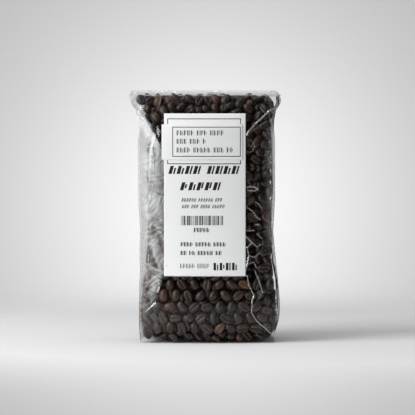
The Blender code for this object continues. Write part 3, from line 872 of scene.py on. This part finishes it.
def paint_reflections_and_shade(x, z, band, rng, layers):
    """Paints reflections and highlights on the front film as whiteness along its sides and top, and painted
    shade as a greyish-brown base colour. Returns how far its folded part is pressed in.
    """
    folded = rise(3, -3, x - np.interp(z, FOLDED_LEVELS, FOLDED_EDGE))
    beside_label = rise(-30, -33, x) * rise(46, 60, z) * rise(152, 142, z)
    painted_reflection_part = np.maximum(folded, beside_label)
    upper, inward = rise(90, 112, z), rise(-50, -39, x)
    patch = crumple(x, 0.5 * z, rng, 14 * MM, 3) - 0.5
    sway = crumple(0.7 * z, x, rng, 17 * MM, 3) - 0.5
    fine = crumple(x + 9 * MM * patch, 0.8 * z + 9 * MM * sway, rng, 6 * MM, 3) - 0.5
    # Painted reflection: a diffuse whiteness, brighter higher up and further from the left edge, broken into
    # crumpled patches.
    painted_reflection = 0.15 + 0.23 * inward + upper * (0.12 + 0.33 * inward) + 1.1 * patch + 0.75 * fine
    lines = creases(x, 0.7 * z, rng, 11 * MM)
    between_gaps = 1 - 0.7 * creases(0.8 * x, 0.8 * z, rng, 10 * MM, 6)
    # Where the beans press the right gusset's tuck out: a painted grey veil of whiteness over painted shade.
    pressed = rise(42.5, 48, x) * rise(68, 78, z) * rise(168, 160, z)
    # Each cover whitens the film further: painted reflection over the folded part and beside the label,
    # painted highlight lines, and the painted veil where the tuck is pressed.
    covers = (
        folded * painted_reflection * between_gaps,
        beside_label * (0.38 + 0.6 * patch + 0.4 * fine) * between_gaps,
        0.7 * lines * painted_reflection_part,
        pressed * (0.15 + 0.5 * patch),
        0.45 * band * lines,
    )
    for cover in covers:
        layers["white"] = 1 - (1 - layers["white"]) * (1 - np.clip(cover, 0, 1))
    layers["frost"] = np.maximum(painted_reflection_part, pressed)
    # Painted shade: a greyish-brown base colour at the far left edge, over the folded part's lower half,
    # faintly beside the label and strongly where the tuck is pressed out.
    shaded = 0.75 * rise(-42, -50, x) + folded * (1 - upper) * (0.42 - 0.8 * fine)
    painted_shade = np.maximum(shaded, 0.15 * beside_label) * rise(170, 155, z)
    layers["painted_shade"] = np.clip(painted_shade + 0.8 * pressed, 0, 1)
    layers["plies"] *= 1 - 0.5 * folded - 0.3 * rise(-46, -52, x)
    layers["plies"] *= 1 - 0.65 * rise(72, 52, z) * rise(24, 34, x)
    return painted_reflection_part * (0.7 * fine + 0.35 * lines) * MM


def face_sheet(side, folds, seed):
    """The front (side -1) or back (side 1) film: points in rows up the bag, and its layers."""
    z, share = np.meshgrid(np.linspace(0, HEIGHT, ROWS), SHARES, indexing="ij")
    x = share * np.where(share < 0, edge_at(z, -1), edge_at(z, 1))
    rng = np.random.default_rng(seed)
    rim = inside_rim(share, 24, z)
    band = rise(172, 184, z)
    loose = np.maximum(rise(31, 44, np.abs(x)), band)
    if side < 0:  # flat under the label
        flat = (1 - rise(30.5, 33, np.abs(x - LABEL_MIDDLE))) * rise(48, 52, z) * rise(178, 175, z)
    else:  # flat where the seam's fin lies
        flat = rise(-3, 0, x) * rise(14, 11.5, x)
    big = crumple(x, 0.5 * z, rng, 10 * MM)
    small = crumple(x, 0.6 * z, rng, 5 * MM)
    lift = (0.2 + 1.2 * loose) * big * MM + (0.1 + 0.25 * loose) * small * MM
    lift, white = folded_along(x, z, folds, lift)
    free = rim * (1 - flat)
    y = side * (face_depth(x, z) + lift * free)
    # The folds' painted highlights, kept off the rim, go in with the film's layers.
    layers = {"white": white * rim, "plies": CLINGING + loose * (LOOSE - CLINGING), "frost": 0 * x}
    if side < 0:
        y = y - free * paint_reflections_and_shade(x, z, band, rng, layers)
    layers["plies"] *= (0.15 + 0.85 * rise(5, 14, z)) * (0.6 + 0.4 * rise(190, 186, z))
    return np.stack([x, y, z], axis=-1), layers


def gusset_sheet(side, front, back, seed):
    """A gusset's film between the front and back films' edges, tucked inward."""
    column = 0 if side < 0 else -1
    near, far = front[:, column], back[:, column]
    z, t = np.meshgrid(np.linspace(0, HEIGHT, ROWS), np.linspace(-1, 1, FOLDS), indexing="ij")
    y = near[:, None, 1] * (1 - t) / 2 + far[:, None, 1] * (1 + t) / 2
    edge, width = edge_at(z, side), np.interp(z, LEVELS, CREASE_WIDTH)
    tuck = np.maximum(width - tucked_reach(y, z, side) - FILM, 0) * (1 - np.abs(t) ** 16)
    x = edge - tuck - (edge - width) * (1 - np.abs(t) ** 3)
    rng = np.random.default_rng(seed)
    rim = inside_rim(t, 20, z)
    lift = (crumple(y, 0.7 * z, rng, 13 * MM) + 0.3 * crumple(0.7 * y, z, rng, 7 * MM)) * MM
    # The gusset's random folds, each with a painted highlight along it.
    lift, white = folded_along(y, z, random_folds(rng, 26, 26), lift)
    x = x + (lift - 0.6 * MM) * rim
    dip = BASE_RISE * rise(20, 0, z) - TOP_DIP * smoothstep(HEIGHT - 20 * MM, HEIGHT, z)
    z = z + (1 - np.abs(t) ** 6) * dip
    return np.stack([side * x, y, z], axis=-1), {"white": white * rim, "plies": 0 * x + 1, "frost": 0 * x}


def end_sheet(row, front, back, left, right, seed):
    """The film across the top (row -1) or base (row 0), spanning the four sheets' edges."""
    s, t = np.meshgrid((SHARES + 1) / 2, np.linspace(0, 1, FOLDS), indexing="ij")
    s, t = s[:, :, None], t[:, :, None]
    f, b, l, r = front[row][:, None], back[row][:, None], left[row][None], right[row][None]
    ruled = f * (1 - t) + b * t + l * (1 - s) + r * s
    corners = f[:1] * (1 - s) * (1 - t) + f[-1:] * s * (1 - t) + b[:1] * (1 - s) * t + b[-1:] * s * t
    points = ruled - corners
    rng = np.random.default_rng(seed)
    if row:
        loose = (1 - np.abs(2 * s - 1) ** 6) * (1 - np.abs(2 * t - 1) ** 6)
        folds = crumple(points[:, :, 0], points[:, :, 1], rng, 9 * MM)[:, :, None]
        points[:, :, 2:] += loose * 0.6 * MM * (folds - 0.9)
    even = np.ones(points.shape[:2])
    return points, {"white": 0 * even, "plies": CLINGING * even, "frost": 0.5 * even}


def make_film_material(name, haze):
    """Clear film: see-through face on, mirror-like at a slant, white along sharp folds and the front's sides
    as painted highlights and painted reflections, greyish brown as painted shade.
    """
    film = Shading(bpy.data.materials.new(name))
    whitened = film.math("ADD", film.layer("white"), haze)
    frost = film.layer("frost")
    dulled = film.math("MULTIPLY", film.math("POWER", frost, 2.0), 0.9)
    # Whiteness turns the mirror into a diffuse white: painted highlights and painted reflections on the film,
    # and whitening on the welds.
    mirrored = film.math("SUBTRACT", film.math("MULTIPLY_ADD", whitened, -0.75, 1.0), dulled, clamp=True)
    inputs = {
        # Painted shade: a greyish-brown base colour where the film lies in shade.
        "Base Color": film.mixed(film.layer("painted_shade"), CLEAR_TONE, PAINTED_SHADE_TONE),
        "Roughness": film.math("MULTIPLY_ADD", frost, 0.3, 0.08),
        "Metallic": mirrored,
    }
    film.feed(film.shader, inputs)
    # Schlick's curve for IOR 1.5: both sides of a thin film reflect alike, which a Fresnel node's don't.
    slant = film.add("LayerWeight", {"Blend": 0.5})["Facing"]
    share = film.math("MULTIPLY_ADD", film.math("POWER", slant, 5.0), 0.96, 0.04)
    share = film.math("MULTIPLY", film.math("MULTIPLY", share, FILM_FACES), film.layer("plies"))
    film.see_through(film.math("MULTIPLY_ADD", whitened, 0.62, share, clamp=True), FILM_TINT)
    return film.owner


film_material = make_film_material("clear_film", 0.0)
welded_material = make_film_material("welded_film", 0.06)


def make_film():
    """The bag's film in six sheets that share their edges."""
    front = face_sheet(-1, FRONT_FOLDS, 21)
    back = face_sheet(1, random_folds(np.random.default_rng(7), 34, 50), 22)
    left = gusset_sheet(-1, front[0], back[0], 23)
    right = gusset_sheet(1, front[0], back[0], 24)
    edges = [sheet[0] for sheet in (front, back, left, right)]
    sheets = (  # with the way their faces turn, so that all of them look outward
        ("film_front", front, -1, ("front_panel",)),
        ("film_back", back, 1, ("back_panel_left", "back_panel_right")),
        ("film_left_gusset", left, 1, ("left_gusset",)),
        ("film_right_gusset", right, -1, ("right_gusset",)),
        ("film_top", end_sheet(-1, *edges, 25), 1, ("top_fold",)),
        ("film_base", end_sheet(0, *edges, 26), -1, ("base_fold",)),
    )
    for name, (points, layers), turn, nodes in sheets:
        sheet_piece(name, points, film_material, "clear_film", turn, replaces=nodes, **layers)


make_film()

# ---- seal fins

RIB_PITCH, RIB_HEIGHT = 1.6 * MM, 0.18 * MM
CUT_PITCH, CUT_DEPTH = 2.4 * MM, 0.7 * MM  # of the zigzag that the knife leaves
ROOT_OVERLAP, RAY_START = 0.3 * MM, 10 * MM
SEAM_LEFT, SEAM_RIGHT = 0.2 * MM, 10.8 * MM


def zigzag(place, pitch):
    """A wave of straight slopes between 0 and 1."""
    return np.abs(2 * ((place / pitch) % 1) - 1)


def fin(name, node, body, axes, side, cut):
    """A welded strip of film with crimp ribs, at the CAD fin's place, on its own hinge.

    Its axes are the one along it, the one out from its weld root, and the one off its face.
    """
    along_axis, out_axis, lift_axis = axes
    low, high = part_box(node)
    along = np.linspace(low[along_axis], high[along_axis], 181)
    out = np.linspace(low[out_axis] - ROOT_OVERLAP, high[out_axis], 41)
    direction = [0.0, 0.0, 0.0]
    direction[lift_axis] = -side

    def start(a, b):
        place = [0.0, 0.0, 0.0]
        place[along_axis], place[out_axis] = a, b
        place[lift_axis] = (high if side > 0 else low)[lift_axis] + side * RAY_START
        return place

    reach = cast_table(node, along, out, start, direction)
    surface = start(0, 0)[lift_axis] - side * reach.values
    a, b = np.meshgrid(along, out, indexing="ij")
    inward = (b - out[0]) / (out[-1] - out[0])
    ribs = zigzag(b, RIB_PITCH) * smoothstep(0.12, 0.2, inward) * smoothstep(1.0, 0.93, inward)
    wave = 0.125 * MM * inward * np.abs(np.sin(a / (9.3 * MM)) * np.sin(a / (5.1 * MM)))
    points = np.zeros((*a.shape, 3))
    points[:, :, along_axis] = a
    points[:, :, out_axis] = b - cut * CUT_DEPTH * inward * zigzag(a, CUT_PITCH)
    points[:, :, lift_axis] = surface + side * (ribs * RIB_HEIGHT - wave)
    even = np.ones(a.shape)
    sheet_piece(name, points, welded_material, "welded_film", body=body, replaces=(node,),
                white=0.15 * ribs, plies=2 * even, frost=0.3 * even)


def seam_end(name, low, high):
    """The back seam beyond its free fin, where it is pressed flat on the film and into the end seal."""
    z, x = np.meshgrid(np.linspace(low, high, 25), np.linspace(SEAM_LEFT, SEAM_RIGHT, 13), indexing="ij")
    y = face_depth(x, z) + 0.5 * MM + 0.1 * MM * zigzag(x, RIB_PITCH)
    even = np.ones(x.shape)
    sheet_piece(name, np.stack([x, y, z], axis=-1), welded_material, "welded_film",
                white=0.1 * even, plies=2 * even, frost=0.3 * even)


SEAM_LOW, SEAM_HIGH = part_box("back_seam_fin")
seam_end("back_seam_above", SEAM_HIGH[2] + 0.5 * MM, HEIGHT - 1.5 * MM)
seam_end("back_seam_below", 1.5 * MM, SEAM_LOW[2] - 0.5 * MM)
fin("top_fin_film", "top_seal_fin", "top_fin", (0, 1, 2), side=1, cut=1)
fin("back_fin_film", "back_seam_fin", "back_fin", (2, 0, 1), side=1, cut=0)
fin("base_fin_film", "base_seal_fin", "base_fin", (0, 1, 2), side=-1, cut=1)

# ---- label, sticker, print

PAPER_THICK = 0.12 * MM
LABEL_LIFT, STICKER_LIFT, INK_LIFT = 0.25 * MM, 0.45 * MM, 0.05 * MM


def paper_wave(x, z):
    """How far the paper stands off the film's smooth face: it is pasted on loosely, with a slight swell."""
    return 0.2 * MM * (1 + np.sin(x / (13 * MM) + z / (31 * MM)) * np.sin(z / (19 * MM) + 0.7))


def paper_point(x, z, lift):
    return np.stack([x, -(face_depth(x, z) + paper_wave(x, z) + lift), z], axis=-1)


def paper(name, node, low, high, lift, material):
    """A thin closed sheet pasted on the front, with its edges turned back by its own thickness."""
    z, x = np.meshgrid(np.linspace(low[2], high[2], 161), np.linspace(low[0], high[0], 91), indexing="ij")
    front = paper_point(x, z, lift + PAPER_THICK).reshape(-1, 3)
    back = paper_point(x, z, lift).reshape(-1, 3)
    faces = grid_faces(*x.shape)
    index = np.arange(x.size).reshape(x.shape)
    ring = np.concatenate([index[0, :-1], index[:-1, -1], index[-1, :0:-1], index[:0:-1, 0]])
    following = np.roll(ring, -1)
    wall = np.stack([ring, ring + x.size, following + x.size, following], axis=1)
    faces = np.concatenate([faces[:, ::-1], faces + x.size, wall])
    mesh_piece(name, np.concatenate([front, back]), faces, material, "label_paper", replaces=(node,))


class Print:
    """Ink marks on a sheet of paper, gathered into one thin piece."""

    def __init__(self, lift):
        self.lift, self.points, self.faces = lift + PAPER_THICK + INK_LIFT, [], []

    def mark(self, x0, x1, z0, z1, slant=0):
        """A filled rectangle in millimetres, leaning by slant for each millimetre of height."""
        across, up = int((x1 - x0) / 2) + 2, int((z1 - z0) / 1.5) + 2
        x, z = np.meshgrid(np.linspace(x0, x1, across), np.linspace(z0, z1, up))
        x = x + slant * (z - z0)
        offset = sum(len(p) for p in self.points)
        self.faces.append(grid_faces(*x.shape)[:, ::-1] + offset)
        self.points.append(paper_point(x.ravel() * MM, z.ravel() * MM, self.lift))

    def frame(self, x0, x1, z0, z1, line):
        for low, high in ((z0, z0 + line), (z1 - line, z1)):
            self.mark(x0, x1, low, high)
        for low, high in ((x0, x0 + line), (x1 - line, x1)):
            self.mark(low, high, z0 + line, z1 - line)

    def words(self, rng, x0, x1, z0, z1, signs, pitch, stroke, gap, slant):
        """A line of plain strokes in place of writing, in groups of signs with a gap between groups."""
        x, last = x0, x1 - pitch * 0.5
        height, thin = z1 - z0, max(0.35, stroke * 0.5)
        while x < last:
            for _ in range(signs if isinstance(signs, int) else rng.integers(*signs)):
                if x > last:
                    break
                self.mark(x, x + stroke, z0, z1, slant)
                low = z0 + height * rng.choice([0.0, 0.0, 0.25])
                high = z0 + height * rng.choice([1.0, 0.75])
                self.mark(x + stroke + gap, x + stroke + gap + thin, low, high, slant)
                x += pitch
            x += pitch * 0.7

    def bars(self, rng, x0, x1, z0, z1):
        x = x0
        while x < x1:
            wide = rng.choice([0.3, 0.3, 0.6, 0.9])
            self.mark(x, min(x + wide, x1), z0, z1)
            x += wide + rng.choice([0.3, 0.45, 0.8])

    def finish(self, name, material):
        mesh_piece(name, np.concatenate(self.points), np.concatenate(self.faces), material, "label_paper")


def make_paper_material(name, low, high, roughness, specular):
    """A finely mottled surface between two colours, with the faint roughness of paper fibres."""
    paper_like = Shading(bpy.data.materials.new(name))
    fibres = paper_like.noise(900.0, 4.0)
    inputs = {
        "Base Color": paper_like.mixed(fibres, low, high),
        "Roughness": roughness,
        "Specular IOR Level": specular,
        "Normal": paper_like.bump(fibres, 0.2, 0.05 * MM),
    }
    paper_like.feed(paper_like.shader, inputs)
    return paper_like.owner


# Lines of strokes, in millimetres: left, right, low, high, strokes in a group, their pitch, how wide
# they and the gaps between them are, and how they lean.
STICKER_LINES = (
    (-23.0, 12.6, 158.8, 162.6, (3, 7), 2.7, 0.8, 0.6, 0),
    (-23.0, 0.0, 152.4, 156.2, (3, 7), 2.7, 0.8, 0.6, 0),
    (-23.0, 20.9, 145.8, 149.6, (3, 7), 2.7, 0.8, 0.6, 0),
)
LINES_ABOVE_BARS = (
    (-29.4, 23.6, 129.5, 135.6, 4, 6.2, 2.6, 0.9, 0.28),
    (-20.6, 11.0, 117.1, 123.2, 6, 6.2, 2.6, 0.9, 0.28),
    (-19.4, 11.7, 108.4, 111.2, (4, 9), 1.9, 0.55, 0.4, 0.25),
    (-19.1, 12.8, 103.4, 106.2, (3, 6), 1.9, 0.55, 0.4, 0.25),
)
LINES_BELOW_BARS = (
    (-9.9, 2.9, 85.2, 88.6, 6, 2.4, 0.9, 0.45, 0),
    (-20.0, 14.7, 74.4, 77.6, (4, 9), 2.4, 0.9, 0.45, 0),
    (-20.0, 12.6, 67.8, 71.0, (2, 7), 2.4, 0.9, 0.45, 0),
    (-20.3, 3.7, 57.8, 61.3, (3, 6), 2.3, 0.6, 0.55, 0),
    (5.0, 23.8, 56.2, 61.9, 4, 4.7, 1.9, 0.7, 0),
)


def make_paper():
    """The label and the sticker across its top, both with plain strokes where the writing would be."""
    material = make_paper_material("label_paper", (0.79, 0.798, 0.795, 1), (0.85, 0.858, 0.855, 1), 0.45, 0.3)
    ink = make_paper_material("print_ink", (0.008, 0.008, 0.01, 1), (0.02, 0.02, 0.026, 1), 0.6, 0.2)
    paper("label", "main_label", LABEL_LOW, LABEL_HIGH, LABEL_LIFT, material)
    paper("sticker", "address_sticker", STICKER_LOW, STICKER_HIGH, STICKER_LIFT, material)
    rng = np.random.default_rng(31)
    sticker = Print(STICKER_LIFT)
    sticker.frame(-26.3, 25.6, 142.6, 165.3, 0.55)
    for line in STICKER_LINES:
        sticker.words(rng, *line)
    sticker.finish("sticker_print", ink)
    label = Print(LABEL_LIFT)
    for z in (136.9, 171.0):
        label.mark(-30.2, 25.9, z, z + 0.6)
    for x in (-30.2, 25.3):
        label.mark(x, x + 0.6, 167.4, 171.0)
        label.mark(x, x + 0.6, 137.5, 139.9)
    for line in LINES_ABOVE_BARS:
        label.words(rng, *line)
    label.bars(rng, -19.7, 12.3, 90.5, 97.7)
    for line in LINES_BELOW_BARS:
        label.words(rng, *line)
    label.mark(-30.8, -30.3, 59.4, 59.9)
    label.finish("label_print", ink)


make_paper()
